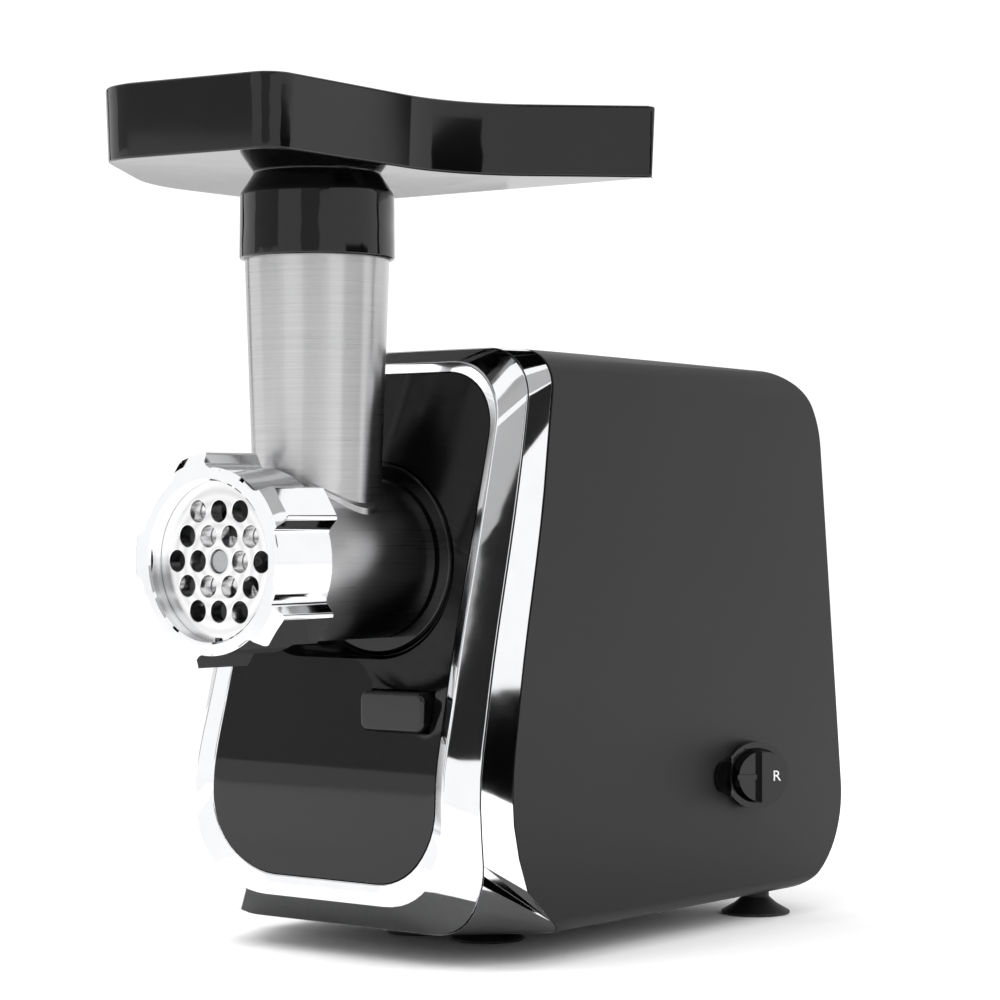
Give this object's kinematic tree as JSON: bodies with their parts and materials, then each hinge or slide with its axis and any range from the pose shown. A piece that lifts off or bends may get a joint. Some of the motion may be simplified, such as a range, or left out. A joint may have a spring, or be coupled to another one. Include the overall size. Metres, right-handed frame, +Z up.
{
  "type": "electric meat grinder",
  "caption": "Countertop electric meat grinder with a black leaning body, chrome front frame, steel screw head, ring nut with perforated plate and a lift-off food tray.",
  "frame": {"origin": "on the table under the middle of the body, in the plane of symmetry that holds the screw's axis", "axes": "+Z up, -Y towards the mouth of the screw head, +X to the right-hand side with the switch knob"},
  "size_m": [0.1551, 0.2938, 0.2865],
  "materials": {
    "satin_black_abs": "satin",
    "gloss_black_abs": "gloss",
    "chrome_plated_abs": "polished",
    "chrome_plated_steel": "polished",
    "brushed_stainless": "brushed",
    "ground_stainless": "ground",
    "cast_aluminium": "cast",
    "turned_steel": "turned",
    "sintered_bronze": "sintered",
    "white_nylon": "moulded",
    "black_nylon": "moulded",
    "black_rubber": "matt",
    "electrical_steel": "laminated",
    "enamelled_copper": "enamelled",
    "carbon": "pressed",
    "board_laminate": "laminate",
    "component_resin": "moulded"
  },
  "bodies": {
    "body": {"main_housing": "satin_black_abs", "front_fascia": "gloss_black_abs", "chrome_frame": "chrome_plated_abs", "chrome_side_band": "chrome_plated_abs", "socket_collar": "gloss_black_abs", "head_socket": "turned_steel", "base_plate": "black_nylon", "base_screws": "turned_steel", "foot_front_left": "black_rubber", "foot_front_right": "black_rubber", "foot_rear_left": "black_rubber", "foot_rear_right": "black_rubber", "button_guide": "black_nylon", "button_spring": "turned_steel", "gear_housing": "black_nylon", "gear_cover": "black_nylon", "gearbox_screws": "turned_steel", "output_bearing_front": "sintered_bronze", "output_bearing_rear": "sintered_bronze", "idler_pin": "turned_steel", "rotor_bearing_front": "sintered_bronze", "rotor_bearing_rear": "sintered_bronze", "stator_core": "electrical_steel", "motor_bracket": "turned_steel", "motor_screws": "turned_steel", "motor_mount": "black_rubber", "field_coil_upper": "enamelled_copper", "field_coil_lower": "enamelled_copper", "brush_holder_left": "black_nylon", "carbon_brush_left": "carbon", "brush_holder_right": "black_nylon", "carbon_brush_right": "carbon", "rotary_switch": "black_nylon", "knob_bezel": "gloss_black_abs", "circuit_board": "board_laminate", "board_components": "component_resin", "cord_bushing": "black_rubber"},
    "head": {"head_casting": "brushed_stainless", "plate_key": "turned_steel", "screw_bush": "sintered_bronze"},
    "screw": {"feed_screw": "cast_aluminium", "cutting_blade": "ground_stainless", "screw_washer": "white_nylon"},
    "plate": {"grinding_plate": "ground_stainless"},
    "ring": {"ring_nut": "chrome_plated_steel"},
    "tray": {"food_tray": "gloss_black_abs"},
    "output": {"output_shaft": "turned_steel", "output_gear": "white_nylon"},
    "idler": {"idler_gear": "white_nylon"},
    "rotor": {"rotor_shaft": "turned_steel", "motor_pinion": "turned_steel", "rotor_core": "electrical_steel", "rotor_windings": "enamelled_copper", "commutator": "enamelled_copper", "cooling_fan": "black_nylon"},
    "button": {"release_button": "gloss_black_abs", "lock_arm": "turned_steel"},
    "knob": {"switch_knob": "gloss_black_abs"}
  },
  "joints": [
    {"name": "output_spin", "type": "hinge", "parent": "body", "child": "output", "pos_m": [0, -0.05, 0.1336], "axis": [0, -1, 0], "continuous": true},
    {"name": "idler_spin", "type": "hinge", "parent": "body", "child": "idler", "pos_m": [0, -0.035, 0.0961], "axis": [0, -1, 0], "continuous": true},
    {"name": "rotor_spin", "type": "hinge", "parent": "body", "child": "rotor", "pos_m": [0, 0.03, 0.0691], "axis": [0, -1, 0], "continuous": true},
    {"name": "head_pull", "type": "slide", "parent": "body", "child": "head", "axis": [0, -1, 0], "range_m": [0, 0.09]},
    {"name": "screw_spin", "type": "hinge", "parent": "head", "child": "screw", "pos_m": [0, -0.11, 0.1336], "axis": [0, -1, 0], "continuous": true},
    {"name": "plate_travel", "type": "slide", "parent": "head", "child": "plate", "axis": [0, -1, 0], "range_m": [0, 0.0201]},
    {"name": "ring_turn", "type": "hinge", "parent": "plate", "child": "ring", "pos_m": [0, -0.155, 0.1336], "axis": [0, -1, 0], "range_deg": [0, 1800]},
    {"name": "tray_lift", "type": "slide", "parent": "head", "child": "tray", "axis": [0, 0, 1], "range_m": [0, 0.06]},
    {"name": "button_press", "type": "slide", "parent": "body", "child": "button", "axis": [0, 1, 0], "range_m": [0, 0.0035], "stiffness_N_per_m": 400, "springref_m": -0.003, "deforming": ["button_spring"]},
    {"name": "knob_turn", "type": "hinge", "parent": "body", "child": "knob", "pos_m": [0.075, 0.0379, 0.0549], "axis": [0.8192, -0.5736, 0], "range_deg": [-45, 45]}
  ],
  "couplings": [
    {"joint": "idler_spin", "follows": "output_spin", "ratio": -4},
    {"joint": "rotor_spin", "follows": "output_spin", "ratio": 20},
    {"joint": "screw_spin", "follows": "output_spin", "ratio": 1},
    {"joint": "plate_travel", "follows": "ring_turn", "m_per_rad": 0.00063662}
  ]
}
